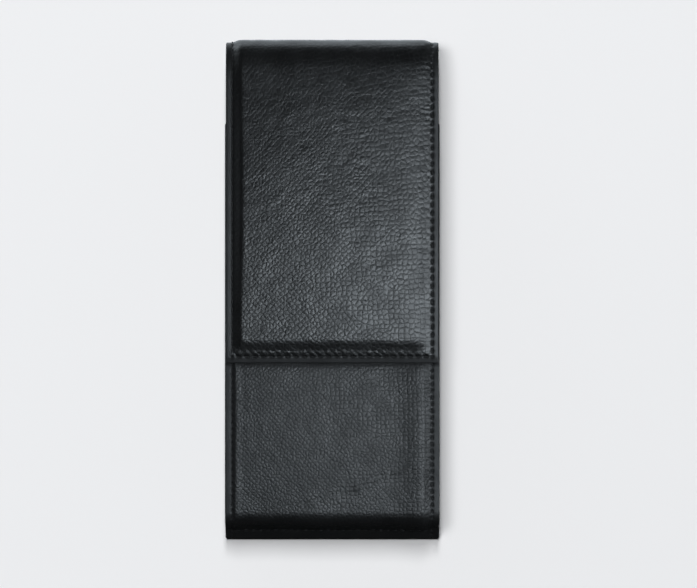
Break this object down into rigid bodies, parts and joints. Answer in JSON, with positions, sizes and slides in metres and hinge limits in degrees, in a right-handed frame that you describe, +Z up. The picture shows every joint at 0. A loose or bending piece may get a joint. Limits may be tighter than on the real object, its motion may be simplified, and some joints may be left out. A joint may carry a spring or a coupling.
{
  "type": "leather flap case",
  "caption": "Slim black leather case with a gusseted pocket and a long padded flap that folds over a soft spine to cover its mouth.",
  "frame": {"origin": "under the middle of the case, on the surface that its back lies on", "axes": "+X across the case to the right of its front, +Y along it to the folded end, +Z up through its thickness, out of its front"},
  "size_m": [0.0686, 0.16, 0.0189],
  "materials": {
    "leather": "black cowhide embossed with a pebbled grain, satin, with smooth creased borders",
    "gusset_leather": "thin black leather, fine grain, satin",
    "lining": "thin black pigskin lining, matt",
    "board": "grey-brown bookbinder's board",
    "padding": "soft grey foam sheet",
    "thread": "black waxed thread"
  },
  "bodies": {
    "pocket": {"back_outer": "leather", "back_board": "board", "back_lining": "lining", "back_thread": "thread", "front_outer": "leather", "front_board": "board", "front_lining": "lining", "front_thread_left": "thread", "front_thread_right": "thread", "bottom_thread": "thread", "mouth_thread": "thread", "mouth_facing": "leather", "joining_strip": "gusset_leather", "gusset_left": "gusset_leather", "gusset_right": "gusset_leather"},
    "spine": {"spine_outer": "leather", "spine_lining": "lining", "spine_thread_left": "thread", "spine_thread_right": "thread"},
    "flap": {"flap_outer": "leather", "flap_padding": "padding", "flap_lining": "lining", "flap_thread": "thread"}
  },
  "joints": [
    {"name": "spine_fold", "type": "hinge", "parent": "pocket", "child": "spine", "pos_m": [0, 0.0786, 0.0026], "axis": [-1, 0, 0], "range_deg": [0, 90]},
    {"name": "flap_fold", "type": "hinge", "parent": "spine", "child": "flap", "pos_m": [0, 0.0785, 0.0162], "axis": [-1, 0, 0], "range_deg": [0, 90]}
  ]
}
